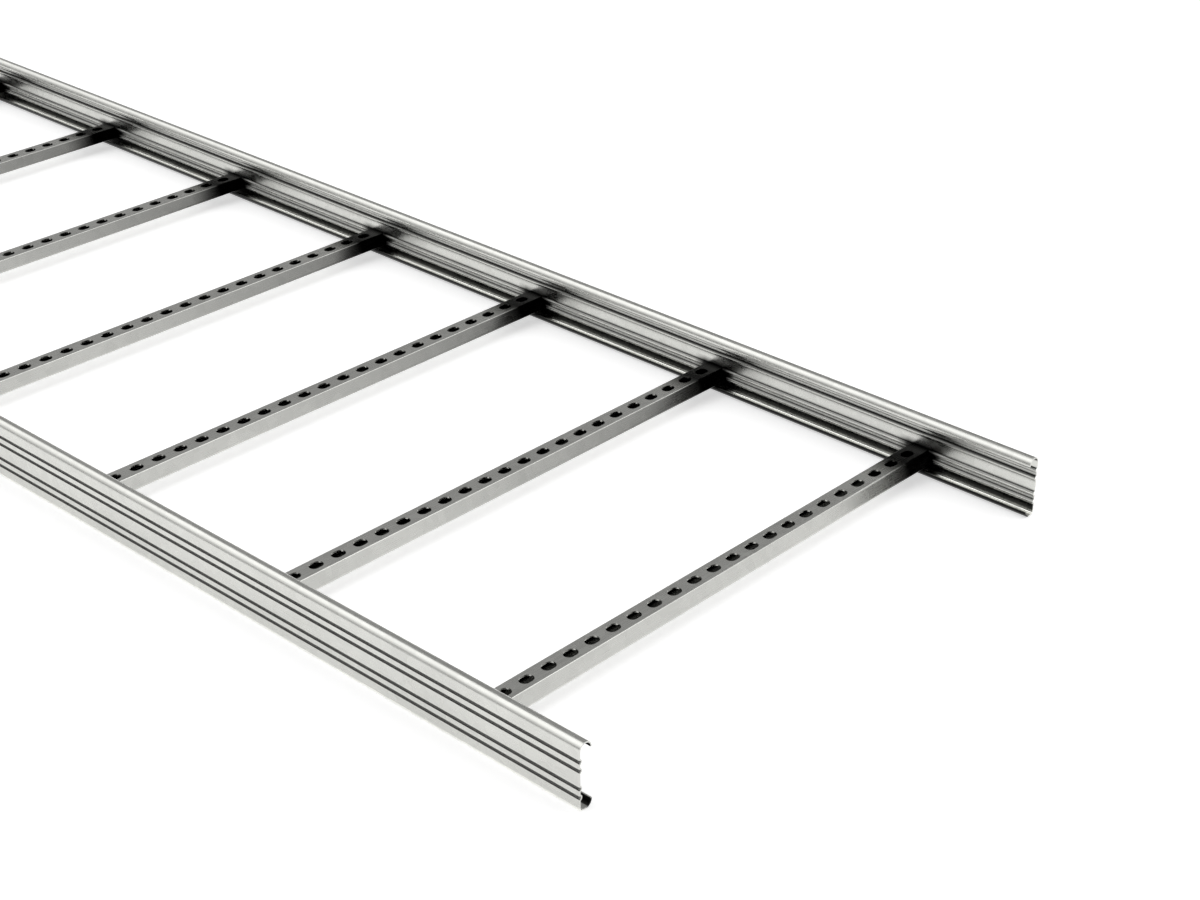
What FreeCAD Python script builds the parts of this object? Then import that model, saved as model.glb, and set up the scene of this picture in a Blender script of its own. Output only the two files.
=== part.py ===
import FreeCAD, Part
import math
import os

# Straight section of cable ladder: two roll-formed side rails joined by slotted rungs.
# Millimetres. X runs along the rails, Y across the ladder, Z up. The origin is the
# centre of the underside, on the plane that the rails stand on.
os.makedirs("parts", exist_ok=True)

# Whole ladder
ladder_length = 3000.0
ladder_width = 594.0
rung_count = 12
first_rung_from_end = 125.0
last_rung_from_end = 125.0
rung_top_height = 23.5

# Side rail section
rail_height = 60.0
rail_sheet = 1.25
web_top_radius = 6.5
web_bottom_radius = 3.0
lip_corner_radius = 6.5
top_flat_width = 0.25
lip_straight_length = 0.5
groove_radius = 1.7
groove_heights = (13.0, 21.0, 37.0, 45.0)

# Rung section
rung_top_width = 20.0
rung_base_width = 35.0
rung_height = 12.0
rung_sheet = 1.25
rung_corner_radius = 1.5
rung_inner_corner_radius = 0.5
rung_underside_opening = 10.0

# Row of slots along each rung
slot_count = 23
end_slot_from_side = 22.0
slot_length = 14.0
slot_width = 10.0

# How far the tools that cut a shape reach past its faces
tool_overrun = 2.0

# A rail's flanges reach in from the web by its two top bends and the flat between them
flange_depth = web_top_radius + top_flat_width + lip_corner_radius
lip_length = lip_corner_radius + lip_straight_length

# Even spacing between the first and last of each row
rung_row_length = ladder_length - first_rung_from_end - last_rung_from_end
rung_spacing = rung_row_length / (rung_count - 1)
slot_row_length = ladder_width - 2 * end_slot_from_side
slot_pitch = slot_row_length / (slot_count - 1)


def flat_point(u, v):
    return FreeCAD.Vector(u, v, 0)


def straight(start, end):
    return Part.makeLine(flat_point(*start), flat_point(*end))


def arc_about(centre, radius, start_degrees, end_degrees):
    points = []
    for share in (0.0, 0.5, 1.0):
        turn = math.radians(start_degrees + share * (end_degrees - start_degrees))
        points.append(flat_point(centre[0] + radius * math.cos(turn), centre[1] + radius * math.sin(turn)))
    return Part.Arc(*points).toShape()


def web_side(depth, arc_radius, going_up):
    # One face of the web, straight between the grooves. Depth is the distance from the
    # outer face, and the arcs of both faces share the groove's centre.
    half_opening = math.sqrt(arc_radius ** 2 - depth ** 2)
    opening_degrees = math.degrees(math.asin(depth / arc_radius))
    edges = []
    height = web_bottom_radius
    for groove_height in sorted(groove_heights):
        edges.append(straight((depth, height), (depth, groove_height - half_opening)))
        edges.append(arc_about((0.0, groove_height), arc_radius, opening_degrees - 90.0, 90.0 - opening_degrees))
        height = groove_height + half_opening
    edges.append(straight((depth, height), (depth, rail_height - web_top_radius)))
    if going_up:
        return edges
    return list(reversed(edges))


def rail_section():
    # Section in the plane of depth from the outer face (first) and height (second).
    inner_top_radius = web_top_radius - rail_sheet
    inner_bottom_radius = web_bottom_radius - rail_sheet
    inner_lip_radius = lip_corner_radius - rail_sheet
    lip_bend_depth = flange_depth - lip_corner_radius
    top_lip_bend = (lip_bend_depth, rail_height - lip_corner_radius)
    bottom_lip_bend = (lip_bend_depth, lip_corner_radius)
    top_web_bend = (web_top_radius, rail_height - web_top_radius)
    bottom_web_bend = (web_bottom_radius, web_bottom_radius)
    top_lip_end = rail_height - lip_length
    lip_inside = flange_depth - rail_sheet
    under_top = rail_height - rail_sheet
    edges = [
        straight((flange_depth, lip_length), (flange_depth, lip_corner_radius)),
        arc_about(bottom_lip_bend, lip_corner_radius, 0.0, -90.0),
        straight((lip_bend_depth, 0.0), (web_bottom_radius, 0.0)),
        arc_about(bottom_web_bend, web_bottom_radius, -90.0, -180.0),
    ]
    edges += web_side(0.0, groove_radius, True)
    edges += [
        arc_about(top_web_bend, web_top_radius, 180.0, 90.0),
        straight((web_top_radius, rail_height), (lip_bend_depth, rail_height)),
        arc_about(top_lip_bend, lip_corner_radius, 90.0, 0.0),
        straight((flange_depth, top_lip_bend[1]), (flange_depth, top_lip_end)),
        straight((flange_depth, top_lip_end), (lip_inside, top_lip_end)),
        straight((lip_inside, top_lip_end), (lip_inside, top_lip_bend[1])),
        arc_about(top_lip_bend, inner_lip_radius, 0.0, 90.0),
        straight((lip_bend_depth, under_top), (web_top_radius, under_top)),
        arc_about(top_web_bend, inner_top_radius, 90.0, 180.0),
    ]
    edges += web_side(rail_sheet, groove_radius + rail_sheet, False)
    edges += [
        arc_about(bottom_web_bend, inner_bottom_radius, 180.0, 270.0),
        straight((web_bottom_radius, rail_sheet), (lip_bend_depth, rail_sheet)),
        arc_about(bottom_lip_bend, inner_lip_radius, -90.0, 0.0),
        straight((lip_inside, lip_corner_radius), (lip_inside, lip_length)),
        straight((lip_inside, lip_length), (flange_depth, lip_length)),
    ]
    ordered = Part.__sortEdges__(edges)
    return Part.Face(Part.Wire(ordered))


def right_rail(length):
    # Rail at the -Y side with its outer face at half the ladder's width, centred on X = 0.
    section = rail_section()
    section.rotate(FreeCAD.Vector(0, 0, 0), FreeCAD.Vector(1, 0, 0), 90)
    section.rotate(FreeCAD.Vector(0, 0, 0), FreeCAD.Vector(0, 0, 1), 90)
    section.translate(FreeCAD.Vector(-length / 2, -ladder_width / 2, 0))
    return section.extrude(FreeCAD.Vector(length, 0, 0))


def left_rail(length):
    return right_rail(length).mirror(FreeCAD.Vector(0, 0, 0), FreeCAD.Vector(0, 1, 0))


def rounded_face(corners, radius):
    # Convex outline with every corner rounded to the same radius.
    points = [FreeCAD.Vector(corner[0], corner[1], 0) for corner in corners]
    starts = []
    middles = []
    ends = []
    for index, corner in enumerate(points):
        before = (points[index - 1] - corner).normalize()
        after = (points[(index + 1) % len(points)] - corner).normalize()
        half_angle = before.getAngle(after) / 2
        bisector = (before + after).normalize()
        starts.append(corner + before * (radius / math.tan(half_angle)))
        ends.append(corner + after * (radius / math.tan(half_angle)))
        middles.append(corner + bisector * (radius / math.sin(half_angle) - radius))
    edges = []
    for index in range(len(points)):
        edges.append(Part.Arc(starts[index], middles[index], ends[index]).toShape())
        edges.append(Part.makeLine(ends[index], starts[(index + 1) % len(points)]))
    return Part.Face(Part.Wire(Part.__sortEdges__(edges)))


def rung_section():
    # Closed trapezoid of sheet with an opening along its underside. Height zero is the top.
    flare = (rung_base_width - rung_top_width) / 2 / rung_height
    side_shift = rung_sheet * math.sqrt(1 + flare ** 2)
    outer_top = rung_top_width / 2
    outer_base = rung_base_width / 2
    inner_top = outer_top + flare * rung_sheet - side_shift
    inner_base = outer_base - flare * rung_sheet - side_shift
    floor = rung_sheet - rung_height
    outside = rounded_face(
        ((-outer_top, 0.0), (-outer_base, -rung_height), (outer_base, -rung_height), (outer_top, 0.0)),
        rung_corner_radius,
    )
    inside = rounded_face(
        ((-inner_top, -rung_sheet), (-inner_base, floor), (inner_base, floor), (inner_top, -rung_sheet)),
        rung_inner_corner_radius,
    )
    opening_corner = FreeCAD.Vector(-rung_underside_opening / 2, -rung_height - tool_overrun, 0)
    opening = Part.makePlane(rung_underside_opening, tool_overrun + 2 * rung_sheet, opening_corner)
    return outside.cut(inside).cut(opening)


def slot_tool(y_centre):
    straight_length = slot_length - slot_width
    depth = rung_sheet + 2 * tool_overrun
    base = rung_top_height - rung_sheet - tool_overrun
    radius = slot_width / 2
    corner = FreeCAD.Vector(-radius, y_centre - straight_length / 2, base)
    tool = Part.makeBox(slot_width, straight_length, depth, corner)
    for end in (-1, 1):
        end_centre = FreeCAD.Vector(0, y_centre + end * straight_length / 2, base)
        tool = tool.fuse(Part.makeCylinder(radius, depth, end_centre))
    return tool.removeSplitter()


def ridge_tool(groove_height, side, length):
    # Space that a groove and the ridge behind it take up at the web on that side.
    axis_start = FreeCAD.Vector(-length / 2, side * ladder_width / 2, groove_height)
    return Part.makeCylinder(groove_radius + rail_sheet, length, axis_start, FreeCAD.Vector(1, 0, 0))


def rung_at_middle():
    # Rung across X = 0, its ends shaped to lie against the webs and their ridges.
    clear_width = ladder_width - 2 * rail_sheet
    section = rung_section().Faces[0]
    section.rotate(FreeCAD.Vector(0, 0, 0), FreeCAD.Vector(1, 0, 0), 90)
    section.translate(FreeCAD.Vector(0, -clear_width / 2, rung_top_height))
    rung = section.extrude(FreeCAD.Vector(0, clear_width, 0))
    first_slot = -(slot_count - 1) / 2 * slot_pitch
    tools = [slot_tool(first_slot + index * slot_pitch) for index in range(slot_count)]
    rung = rung.cut(Part.makeCompound(tools))
    ridges = [ridge_tool(height, side, 2 * rung_base_width) for height in groove_heights for side in (-1, 1)]
    return rung.cut(Part.makeCompound(ridges))


def save(shape, node):
    solid = shape
    if shape.ShapeType != "Solid":
        solid = shape.Solids[0]
    box = solid.BoundBox
    print(node, len(shape.Solids), solid.isValid(), round(solid.Volume), box)
    solid.exportStep("parts/" + node + ".step")


save(right_rail(ladder_length), "side_rail_right")
save(left_rail(ladder_length), "side_rail_left")

middle_rung = rung_at_middle()
for index in range(rung_count):
    rung = middle_rung.copy()
    rung.translate(FreeCAD.Vector(ladder_length / 2 - first_rung_from_end - index * rung_spacing, 0, 0))
    save(rung, "rung_%02d" % (index + 1))
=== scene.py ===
import math

import bmesh
import bpy
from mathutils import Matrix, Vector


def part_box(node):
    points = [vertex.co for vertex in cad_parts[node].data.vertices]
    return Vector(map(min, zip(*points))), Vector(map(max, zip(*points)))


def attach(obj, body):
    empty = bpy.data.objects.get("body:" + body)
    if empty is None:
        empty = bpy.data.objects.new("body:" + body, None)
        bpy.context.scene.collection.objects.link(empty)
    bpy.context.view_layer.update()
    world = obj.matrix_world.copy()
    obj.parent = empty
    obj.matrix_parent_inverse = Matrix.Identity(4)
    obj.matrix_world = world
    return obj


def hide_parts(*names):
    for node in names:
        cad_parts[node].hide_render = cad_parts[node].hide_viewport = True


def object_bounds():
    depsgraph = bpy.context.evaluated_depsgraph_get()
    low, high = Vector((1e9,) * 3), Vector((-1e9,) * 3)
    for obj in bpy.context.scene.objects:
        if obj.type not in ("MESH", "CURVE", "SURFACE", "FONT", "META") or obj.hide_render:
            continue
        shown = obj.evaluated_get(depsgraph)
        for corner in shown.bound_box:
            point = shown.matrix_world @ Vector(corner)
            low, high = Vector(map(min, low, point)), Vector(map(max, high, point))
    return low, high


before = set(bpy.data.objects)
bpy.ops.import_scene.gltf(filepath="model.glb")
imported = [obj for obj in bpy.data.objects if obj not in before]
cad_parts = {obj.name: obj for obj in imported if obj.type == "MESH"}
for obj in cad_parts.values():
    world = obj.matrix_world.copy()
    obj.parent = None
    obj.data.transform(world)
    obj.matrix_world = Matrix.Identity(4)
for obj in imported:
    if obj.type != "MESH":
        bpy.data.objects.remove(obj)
cad_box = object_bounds()

scene = bpy.context.scene
scene.view_settings.view_transform = "Standard"

# Camera: place in metres, turn in degrees, focal length for a 36 mm wide sensor
camera_place = (2.40737, -1.24863, 1.01704)
camera_turn = (61.4564, 0.0296, 42.9613)
camera_lens = 67.359
sensor_width = 36.0
clip_near = 0.05
clip_far = 60.0

# Side rail section, in metres: depth is measured inwards from the web's outer face
rail_height = 0.060
rail_sheet = 0.00125
web_top_radius = 0.0065
web_bottom_radius = 0.003
lip_corner_radius = 0.0065
top_flat_width = 0.00025
lip_straight_length = 0.0005
groove_radius = 0.0017
groove_heights = (0.013, 0.021, 0.037, 0.045)
rung_end_grooves = groove_heights[0:2]
flange_depth = web_top_radius + top_flat_width + lip_corner_radius
lip_length = lip_corner_radius + lip_straight_length

# Rung section
rung_top_width = 0.020
rung_base_width = 0.035
rung_height = 0.012
rung_sheet = 0.00125
rung_corner_radius = 0.0015
rung_inner_corner_radius = 0.0005
rung_underside_opening = 0.010

# Row of slots along each rung
slot_count = 23
slot_pitch = 0.025
slot_length = 0.014
slot_width = 0.010

# Fineness of the bends, and how far a cutting tool reaches to either side of a sheet
arc_step = 5.0
rung_corner_steps = 12
slot_end_steps = 24
ridge_tool_steps = 23
ridge_tool_last_angle = 345
tool_reach = 0.003
sharp_angle = 30

# Zinc-coated steel: colour, then the spread of each kind of mark on it
zinc_colour = (0.645, 0.646, 0.616)
spangle_scale = 110.0
rolling_scale = 12.0
rolling_detail = 4.0
rolling_along = 1.5
rolling_across = 60.0
patch_scale = 9.0
patch_detail = 3.0
noise_middle = (0.3, 0.7)
spangle_tones = (0.97, 1.03)
patch_tones = (0.96, 1.03)
rolling_tones = (0.97, 1.02)
rolling_roughness = (0.24, 0.30)
spangle_roughness = (-0.02, 0.03)
rolling_relief = 0.6
spangle_relief = 0.15
relief_strength = 0.12
relief_depth = 0.0002

# Worn edges: bevel width, how far the normals differ, and how much brighter and smoother they are
edge_radius = 0.0006
edge_facing = (0.80, 1.0)
edge_tone = 0.06
edge_polish = 0.04

# Painted shade in narrow creases: reach, the openness over which it fades, and the darkest tone
crease_reach = 0.0035
crease_openness = (0.72, 0.98)
crease_tone = 0.02

# Where a rail's creases get no painted shade, as heights: below the first range and above the second
unshaded_below = (0.0045, 0.0065)
unshaded_above = (0.0460, 0.0475)

# Painted shade inside a rail's folds and round the rung joints: depths, heights and directions over which it
# begins
fold_tone = 0.05
top_lip_depth = (0.0055, 0.0080)
top_lip_outwards = (0.05, 0.45)
bottom_fold_depth = (0.0065, 0.0090)
bottom_fold_height = (0.0064, 0.0069)
under_top_height = (0.0500, 0.0540)
under_top_slope = (-0.45, -0.05)
inner_face_outwards = (-0.3, 0.0)
joint_distance = (0.014, 0.026)
joint_height = (0.024, 0.030)

# Painted shade along the ridges of a rail's inner face (middle height, reach and tone), and in the trough
# above its bottom fold
ridge_shade = ((0.0154, 0.0017, 0.30), (0.0234, 0.0017, 0.35), (0.0390, 0.0022, 0.10), (0.0455, 0.0035, 0.72))
ridge_shade_core = 0.0003
trough_start = (0.0034, 0.0050)
trough_end = (0.0095, 0.0110)
trough_tone = 0.2

# Painted highlight on the bottom bend of a rail
bright_bend_height = (0.0030, 0.0042)
bright_bend_depth = (0.0035, 0.0045)
bright_bend_tone = 1.42

# Painted shade at a rung's ends, inside it, and on the sloping side of the rungs after the first
left_end_reach = (0.218, 0.260)
left_end_tone = 0.005
right_end_reach = (-0.2655, -0.2495)
right_end_tone = 0.04
inside_height = (0.0215, 0.0222)
inside_facing_up = (0.7, 0.9)
inside_tone = 0.08
side_facing = (0.4, 0.7)
side_place = (1.15, 1.35)
side_fade = (-0.12, 0.237)
side_tone = 0.36

# Floor: size, colour, and a glow for what is seen straight or mirrored
floor_size = 30
floor_colour = (0.8, 0.8, 0.8, 1)
floor_glow = 0.57

# Brightness of the studio round the object
base_light = 0.29
end_light = 0.42
zenith_light = 1.3
window_light = 2.1
low_side_light = 0.58
far_side_light = 1.15
corner_light = 2.2
camera_side_light = 0.02


def arc(centre, radius, start, end, steps):
    points = []
    for index in range(steps + 1):
        turn = math.radians(start + (end - start) * index / steps)
        points.append((centre[0] + radius * math.cos(turn), centre[1] + radius * math.sin(turn)))
    return points


def steps_for(degrees):
    return max(2, round(abs(degrees) / arc_step))


def rail_strip():
    # Outer and inner points in pairs, from the bottom lip's edge round to the top lip's edge.
    outer = []
    inner = []

    def both(outer_points, inner_points):
        outer.extend(outer_points)
        inner.extend(inner_points)

    def bend(centre, radius, start, end):
        steps = steps_for(end - start)
        both(arc(centre, radius, start, end, steps), arc(centre, radius - rail_sheet, start, end, steps))

    lip_bend = flange_depth - lip_corner_radius
    both([(flange_depth, lip_length)], [(flange_depth - rail_sheet, lip_length)])
    bend((lip_bend, lip_corner_radius), lip_corner_radius, 0, -90)
    bend((web_bottom_radius, web_bottom_radius), web_bottom_radius, -90, -180)
    ridge_radius = groove_radius + rail_sheet
    opening = math.degrees(math.asin(rail_sheet / ridge_radius))
    steps = steps_for(180)
    for height in groove_heights:
        groove = arc((0, height), groove_radius, -90, 90, steps)
        both(groove, arc((0, height), ridge_radius, opening - 90, 90 - opening, steps))
    bend((web_top_radius, rail_height - web_top_radius), web_top_radius, 180, 90)
    bend((lip_bend, rail_height - lip_corner_radius), lip_corner_radius, 90, 0)
    lip_end = rail_height - lip_length
    both([(flange_depth, lip_end)], [(flange_depth - rail_sheet, lip_end)])
    return outer, inner


def corner_arc(before, corner, after, radius):
    # Points of a rounded corner on the way from before to after.
    def unit(a, b):
        length = math.hypot(b[0] - a[0], b[1] - a[1])
        return ((b[0] - a[0]) / length, (b[1] - a[1]) / length)

    back = unit(corner, before)
    forth = unit(corner, after)
    half = math.acos(back[0] * forth[0] + back[1] * forth[1]) / 2
    middle = (back[0] + forth[0], back[1] + forth[1])
    size = math.hypot(*middle)
    reach = radius / math.sin(half)
    centre = (corner[0] + middle[0] / size * reach, corner[1] + middle[1] / size * reach)
    tangent = radius / math.tan(half)
    first = (corner[0] + back[0] * tangent, corner[1] + back[1] * tangent)
    start = math.atan2(first[1] - centre[1], first[0] - centre[0])
    turn = math.pi - 2 * half
    side = back[0] * forth[1] - back[1] * forth[0]
    if side > 0:
        turn = -turn
    return arc(centre, radius, math.degrees(start), math.degrees(start + turn), rung_corner_steps)


def rung_strip():
    # Across the rung first and height second, the top at zero.
    flare = (rung_base_width - rung_top_width) / 2 / rung_height
    shift = rung_sheet * math.sqrt(1 + flare ** 2)
    half_opening = rung_underside_opening / 2

    def line(top, base, ceiling, floor):
        return [(half_opening, floor), (base, floor), (top, ceiling),
                (-top, ceiling), (-base, floor), (-half_opening, floor)]

    top = rung_top_width / 2
    base = rung_base_width / 2
    outer_line = line(top, base, 0, -rung_height)
    inner_top = top + flare * rung_sheet - shift
    inner_base = base - flare * rung_sheet - shift
    inner_line = line(inner_top, inner_base, -rung_sheet, rung_sheet - rung_height)
    outer = [outer_line[0]]
    inner = [inner_line[0]]
    for index in range(1, 5):
        outer += corner_arc(*outer_line[index - 1:index + 2], rung_corner_radius)
        inner += corner_arc(*inner_line[index - 1:index + 2], rung_inner_corner_radius)
    outer.append(outer_line[-1])
    inner.append(inner_line[-1])
    return outer, inner


def smooth_bends(mesh):
    mesh.polygons.foreach_set("use_smooth", [True] * len(mesh.polygons))
    mesh.set_sharp_from_angle(angle=math.radians(sharp_angle))


def solid_object(name, points, faces):
    mesh = bpy.data.meshes.new(name)
    mesh.from_pydata(points, [], faces)
    obj = bpy.data.objects.new(name, mesh)
    scene.collection.objects.link(obj)
    shape = bmesh.new()
    shape.from_mesh(mesh)
    bmesh.ops.recalc_face_normals(shape, faces=shape.faces)
    shape.to_mesh(mesh)
    shape.free()
    smooth_bends(mesh)
    mesh.update()
    return obj


def side_faces(size):
    # Faces between two rings of as many points.
    return [(index, (index + 1) % size, size + (index + 1) % size, size + index) for index in range(size)]


def bent_sheet(name, strip, start, end, place):
    # Sheet with that section from start to end. place turns (along, across, height) into a point.
    outer, inner = strip
    ring = outer + list(reversed(inner))
    size = len(ring)
    points = [place(along, *point) for along in (start, end) for point in ring]
    faces = side_faces(size)
    for index in range(len(outer) - 1):
        a, b, c, d = index, index + 1, size - 2 - index, size - 1 - index
        faces.append((a, d, c, b))
        faces.append((size + a, size + b, size + c, size + d))
    return solid_object(name, points, faces)


def prism(name, outline, low, high, place):
    size = len(outline)
    points = [place(level, *point) for level in (low, high) for point in outline]
    faces = [tuple(range(size)), tuple(range(2 * size - 1, size - 1, -1))] + side_faces(size)
    return solid_object(name, points, faces)


def slot_outline(centre):
    half = (slot_length - slot_width) / 2
    radius = slot_width / 2
    first_end = arc((0, centre + half), radius, 0, 180, slot_end_steps)
    return first_end + arc((0, centre - half), radius, 180, 360, slot_end_steps)


def cut(obj, tools):
    # Takes the tools away from obj for good.
    bpy.ops.object.select_all(action="DESELECT")
    for tool in tools:
        tool.select_set(True)
    bpy.context.view_layer.objects.active = tools[0]
    bpy.ops.object.join()
    tool = bpy.context.view_layer.objects.active
    bpy.ops.object.select_all(action="DESELECT")
    modifier = obj.modifiers.new("cut", "BOOLEAN")
    modifier.object = tool
    modifier.operation = "DIFFERENCE"
    modifier.solver = "EXACT"
    depsgraph = bpy.context.evaluated_depsgraph_get()
    mesh = bpy.data.meshes.new_from_object(obj.evaluated_get(depsgraph))
    obj.modifiers.remove(modifier)
    old = obj.data
    obj.data = mesh
    bpy.data.meshes.remove(old)
    bpy.data.objects.remove(tool)
    smooth_bends(mesh)


class Graph:
    # Makes the nodes of one shader and joins them.

    def __init__(self, tree):
        self.tree = tree
        tree.nodes.clear()

    def node(self, kind, **values):
        made = self.tree.nodes.new(kind)
        for key, value in values.items():
            setattr(made, key, value)
        return made

    def join(self, source, target):
        self.tree.links.new(source, target)

    def math(self, operation, *values):
        made = self.node("ShaderNodeMath", operation=operation)
        for socket, value in enumerate(values):
            if isinstance(value, float):
                made.inputs[socket].default_value = value
            else:
                self.join(value, made.inputs[socket])
        return made.outputs[0]

    def product(self, first, *others):
        for other in others:
            first = self.math("MULTIPLY", first, other)
        return first

    def most(self, first, *others):
        for other in others:
            first = self.math("MAXIMUM", first, other)
        return first

    def span(self, source, reach, values):
        # values[0] up to reach[0], values[1] from reach[1] on.
        made = self.node("ShaderNodeMapRange", clamp=True)
        self.join(source, made.inputs["Value"])
        made.inputs["From Min"].default_value = reach[0]
        made.inputs["From Max"].default_value = reach[1]
        made.inputs["To Min"].default_value = values[0]
        made.inputs["To Max"].default_value = values[1]
        return made.outputs["Result"]

    def rise(self, source, reach):
        return self.span(source, reach, (0.0, 1.0))

    def fall(self, source, reach):
        return self.span(source, reach, (1.0, 0.0))

    def tone(self, amount, value):
        # 1 where amount is 0, value where it is 1.
        return self.span(amount, (0.0, 1.0), (1.0, value))

    def split(self, vector):
        made = self.node("ShaderNodeSeparateXYZ")
        self.join(vector, made.inputs["Vector"])
        return made.outputs["X"], made.outputs["Y"], made.outputs["Z"]


def rail_tones(graph, place, normal):
    # Painted shade inside a rail's folds, round the welded joints, along its ridges and in its trough, and a
    # painted highlight on its bottom bend.
    along, across, height = graph.split(place)
    facing_across, facing_up = graph.split(normal)[1:]
    depth = graph.math("SUBTRACT", cad_box[1][1], graph.math("ABSOLUTE", across))
    outwards = graph.product(facing_across, graph.math("SIGN", across))
    inner_face = graph.fall(outwards, inner_face_outwards)

    top_lip = graph.product(graph.rise(depth, top_lip_depth), graph.rise(outwards, top_lip_outwards))
    bottom_fold = graph.product(graph.rise(depth, bottom_fold_depth), graph.fall(height, bottom_fold_height))
    under_top = graph.product(graph.rise(height, under_top_height), graph.fall(facing_up, under_top_slope))
    past_first_rung = graph.math("SUBTRACT", along, rung_places[0])
    to_rung = graph.math("PINGPONG", past_first_rung, rung_spacing / 2)
    joint = graph.product(graph.fall(to_rung, joint_distance), graph.fall(height, joint_height), inner_face)
    # Painted shade inside the lips and folds, under the top and round the joints
    tones = graph.tone(graph.most(top_lip, bottom_fold, under_top, joint), fold_tone)

    # Painted shade along the ridges of the inner face
    for middle, reach, value in ridge_shade:
        away = graph.math("ABSOLUTE", graph.math("SUBTRACT", height, middle))
        ridge_shading = graph.product(graph.fall(away, (ridge_shade_core, reach)), inner_face)
        tones = graph.product(tones, graph.tone(ridge_shading, value))
    # Painted shade in the trough above the bottom fold
    trough = graph.product(graph.rise(height, trough_start), graph.fall(height, trough_end), inner_face)
    # Painted highlight on the bottom bend
    bend = graph.product(graph.fall(height, bright_bend_height), graph.fall(depth, bright_bend_depth))
    return graph.product(tones, graph.tone(trough, trough_tone), graph.tone(bend, bright_bend_tone))


def rung_tones(graph, place, normal):
    # Painted shade round a rung's welded ends, inside it, and on its sloping side towards the left rail.
    along, across, height = graph.split(place)
    facing_along, _, facing_up = graph.split(normal)
    left_end = graph.span(across, left_end_reach, (1.0, left_end_tone))
    right_end = graph.span(across, right_end_reach, (right_end_tone, 1.0))
    inside = graph.product(graph.fall(height, inside_height), graph.rise(facing_up, inside_facing_up))
    side = graph.product(graph.rise(facing_along, side_facing), graph.fall(along, side_place))
    fading = graph.product(side, graph.rise(across, side_fade))
    return graph.product(left_end, right_end, graph.tone(inside, inside_tone), graph.tone(fading, side_tone))


def steel_material(name, along):
    # Zinc-coated sheet: broad spangle, rolling lines along the sheet, worn bright edges, painted shade in
    # creases, folds and round the joints, and a painted highlight on a rail's bottom bend.
    material = bpy.data.materials.new(name)
    material.use_nodes = True
    graph = Graph(material.node_tree)
    place = graph.node("ShaderNodeTexCoord").outputs["Object"]
    normal = graph.node("ShaderNodeNewGeometry").outputs["Normal"]

    spangle = graph.node("ShaderNodeTexVoronoi", feature="F1")
    graph.join(place, spangle.inputs["Vector"])
    spangle.inputs["Scale"].default_value = spangle_scale
    grain = graph.node("ShaderNodeSeparateColor")
    graph.join(spangle.outputs["Color"], grain.inputs["Color"])

    stretch = graph.node("ShaderNodeMapping")
    graph.join(place, stretch.inputs["Vector"])
    scales = [rolling_along if axis == along else rolling_across for axis in "XYZ"]
    stretch.inputs["Scale"].default_value = scales
    rolling = graph.node("ShaderNodeTexNoise")
    graph.join(stretch.outputs["Vector"], rolling.inputs["Vector"])
    rolling.inputs["Scale"].default_value = rolling_scale
    rolling.inputs["Detail"].default_value = rolling_detail

    patches = graph.node("ShaderNodeTexNoise")
    graph.join(place, patches.inputs["Vector"])
    patches.inputs["Scale"].default_value = patch_scale
    patches.inputs["Detail"].default_value = patch_detail

    # Painted shade in narrow creases: darker where ambient occlusion finds the sheet close by
    crease = graph.node("ShaderNodeAmbientOcclusion", samples=8, only_local=True)
    crease.inputs["Distance"].default_value = crease_reach
    crease_shading = graph.span(crease.outputs["AO"], crease_openness, (crease_tone, 1.0))
    if along == "X":
        height = graph.split(place)[2]
        crease_shading = graph.most(crease_shading, graph.fall(height, unshaded_below), graph.rise(height, unshaded_above))

    edge = graph.node("ShaderNodeBevel", samples=4)
    edge.inputs["Radius"].default_value = edge_radius
    facing = graph.node("ShaderNodeVectorMath", operation="DOT_PRODUCT")
    graph.join(edge.outputs["Normal"], facing.inputs[0])
    graph.join(normal, facing.inputs[1])
    wear = graph.fall(facing.outputs["Value"], edge_facing)

    shade = graph.product(
        graph.span(grain.outputs["Red"], (0.0, 1.0), spangle_tones),
        graph.span(patches.outputs["Fac"], noise_middle, patch_tones),
        graph.span(rolling.outputs["Fac"], noise_middle, rolling_tones),
    )
    shade = graph.math("ADD", shade, graph.product(wear, edge_tone))
    # Painted shade, and on the rails a painted highlight, set by place and normal
    tones = rail_tones if along == "X" else rung_tones
    shade = graph.product(shade, crease_shading, tones(graph, place, normal))
    colour = graph.node("ShaderNodeVectorMath", operation="SCALE")
    colour.inputs[0].default_value = zinc_colour
    graph.join(shade, colour.inputs["Scale"])

    rough = graph.math(
        "ADD",
        graph.span(rolling.outputs["Fac"], noise_middle, rolling_roughness),
        graph.span(grain.outputs["Green"], (0.0, 1.0), spangle_roughness),
    )
    rough = graph.math("SUBTRACT", rough, graph.product(wear, edge_polish))

    lines = graph.product(rolling.outputs["Fac"], rolling_relief)
    bump = graph.node("ShaderNodeBump")
    bump.inputs["Strength"].default_value = relief_strength
    bump.inputs["Distance"].default_value = relief_depth
    relief = graph.math("ADD", lines, graph.product(grain.outputs["Blue"], spangle_relief))
    graph.join(relief, bump.inputs["Height"])

    shader = graph.node("ShaderNodeBsdfPrincipled")
    shader.inputs["Metallic"].default_value = 1.0
    graph.join(colour.outputs["Vector"], shader.inputs["Base Color"])
    graph.join(rough, shader.inputs["Roughness"])
    graph.join(bump.outputs["Normal"], shader.inputs["Normal"])
    out = graph.node("ShaderNodeOutputMaterial")
    graph.join(shader.outputs["BSDF"], out.inputs["Surface"])
    return material


def add_part(obj, node, material):
    obj.data.materials.clear()
    obj.data.materials.append(material)
    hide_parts(node)
    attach(obj, "root")


def add_rail(node, side):
    web = side * cad_box[1][1]

    def place(along, depth, height):
        return (along, web - side * depth, height)

    rail = bent_sheet(node + "_fine", rail_strip(), cad_box[0][0], cad_box[1][0], place)
    add_part(rail, node, rail_steel)


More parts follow.
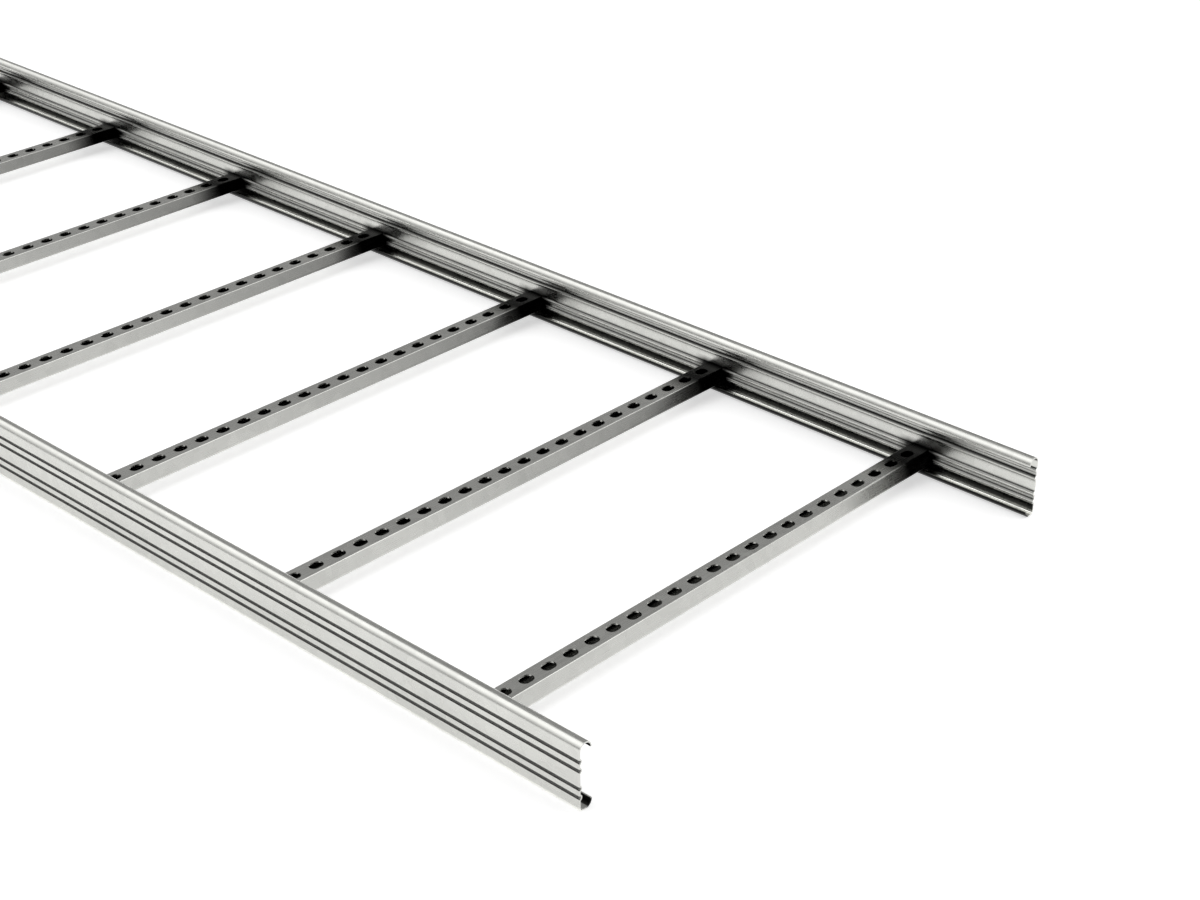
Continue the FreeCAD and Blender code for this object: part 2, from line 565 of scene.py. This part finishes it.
def add_rung(node, middle, top):
    # The rung's ends lie against the webs and their ridges.
    web = cad_box[1][1]

    def place(along, across, height):
        return (middle + across, along, top + height)

    def upright(level, across, along):
        return (middle + across, along, level)

    def lengthwise(level, across, height):
        return (middle + level, across, height)

    rung = bent_sheet(node + "_fine", rung_strip(), rail_sheet - web, web - rail_sheet, place)
    tools = []
    for index in range(slot_count):
        outline = slot_outline((index - (slot_count - 1) / 2) * slot_pitch)
        tools.append(prism("slot", outline, top - tool_reach, top + tool_reach, upright))
    for side in (-1, 1):
        for height in rung_end_grooves:
            centre = (side * web, height)
            outline = arc(centre, groove_radius + rail_sheet, 0, ridge_tool_last_angle, ridge_tool_steps)
            tools.append(prism("ridge", outline, -rung_base_width, rung_base_width, lengthwise))
    cut(rung, tools)
    add_part(rung, node, rung_steel)


def add_floor():
    bpy.ops.mesh.primitive_plane_add(size=floor_size)
    floor = bpy.context.object
    floor.name = "floor"
    material = bpy.data.materials.new("floor_white")
    material.use_nodes = True
    graph = Graph(material.node_tree)
    plain = graph.node("ShaderNodeBsdfDiffuse")
    plain.inputs["Color"].default_value = floor_colour
    rays = graph.node("ShaderNodeLightPath").outputs
    seen = graph.most(rays["Is Camera Ray"], rays["Is Glossy Ray"], rays["Is Transmission Ray"])
    glow = graph.node("ShaderNodeEmission")
    graph.join(graph.product(seen, floor_glow), glow.inputs["Strength"])
    both = graph.node("ShaderNodeAddShader")
    graph.join(plain.outputs["BSDF"], both.inputs[0])
    graph.join(glow.outputs["Emission"], both.inputs[1])
    out = graph.node("ShaderNodeOutputMaterial")
    graph.join(both.outputs["Shader"], out.inputs["Surface"])
    floor.data.materials.append(material)


def add_studio():
    # Studio walls and ceiling as a sky: each area is a soft patch of light round one direction.
    world = bpy.data.worlds.new("studio")
    scene.world = world
    world.use_nodes = True
    graph = Graph(world.node_tree)
    way = graph.node("ShaderNodeTexCoord").outputs["Generated"]
    up = graph.split(way)[2]
    level_way = graph.node("ShaderNodeVectorMath", operation="MULTIPLY")
    level_way.inputs[1].default_value = (1, 1, 0)
    graph.join(way, level_way.inputs[0])
    unit_way = graph.node("ShaderNodeVectorMath", operation="NORMALIZE")
    graph.join(level_way.outputs["Vector"], unit_way.inputs[0])

    def soft(source, start, end):
        step = graph.rise(source, (start, end))
        step.node.interpolation_type = "SMOOTHSTEP"
        return step

    def towards(azimuth, full, fade):
        # 1 within full degrees of the azimuth, 0 beyond full + fade.
        turn = math.radians(azimuth)
        dot = graph.node("ShaderNodeVectorMath", operation="DOT_PRODUCT")
        graph.join(unit_way.outputs["Vector"], dot.inputs[0])
        dot.inputs[1].default_value = (math.cos(turn), math.sin(turn), 0)
        return soft(dot.outputs["Value"], math.cos(math.radians(full + fade)), math.cos(math.radians(full)))

    def above(elevation, fade):
        start = math.radians(elevation - fade / 2)
        end = math.radians(elevation + fade / 2)
        return soft(up, math.sin(start), math.sin(end))

    def below(elevation, fade):
        return graph.math("SUBTRACT", 1.0, above(elevation, fade))

    end_wall = towards(165, 18, 40)
    zenith = above(62, 24)
    far_corner = graph.product(towards(80, 30, 15), above(44, 10))
    low_side = graph.product(towards(200, 60, 30), below(15, 14))
    window = graph.product(towards(208, 38, 10), above(28, 54), below(64, 10))
    far_side = graph.product(towards(50, 25, 20), below(40, 14))
    camera_side = graph.product(towards(310, 45, 20), below(60, 20))

    # Each patch covers those before it
    sky = base_light
    for amount, light in (
        (end_wall, end_light),
        (zenith, zenith_light),
        (far_corner, corner_light),
        (low_side, low_side_light),
        (window, window_light),
        (far_side, far_side_light),
        (camera_side, camera_side_light),
    ):
        kept = graph.math("MULTIPLY", sky, graph.math("SUBTRACT", 1.0, amount))
        sky = graph.math("ADD", kept, graph.math("MULTIPLY", amount, light))
    back = graph.node("ShaderNodeBackground")
    graph.join(sky, back.inputs["Strength"])
    out = graph.node("ShaderNodeOutputWorld")
    graph.join(back.outputs["Background"], out.inputs["Surface"])


def add_camera():
    data = bpy.data.cameras.new("camera")
    data.lens = camera_lens
    data.sensor_width = sensor_width
    data.clip_start = clip_near
    data.clip_end = clip_far
    camera = bpy.data.objects.new("camera", data)
    camera.location = camera_place
    camera.rotation_euler = [math.radians(angle) for angle in camera_turn]
    scene.collection.objects.link(camera)
    scene.camera = camera


rung_nodes = sorted(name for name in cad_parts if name.startswith("rung_"))
rung_boxes = [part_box(node) for node in rung_nodes]
rung_places = [(low[0] + high[0]) / 2 for low, high in rung_boxes]
rung_spacing = rung_places[0] - rung_places[1]
rail_steel = steel_material("rail_steel", "X")
rung_steel = steel_material("rung_steel", "Y")

add_rail("side_rail_right", -1)
add_rail("side_rail_left", 1)
for node, middle, (rung_low, rung_high) in zip(rung_nodes, rung_places, rung_boxes):
    add_rung(node, middle, rung_high[2])
add_floor()
add_studio()
add_camera()
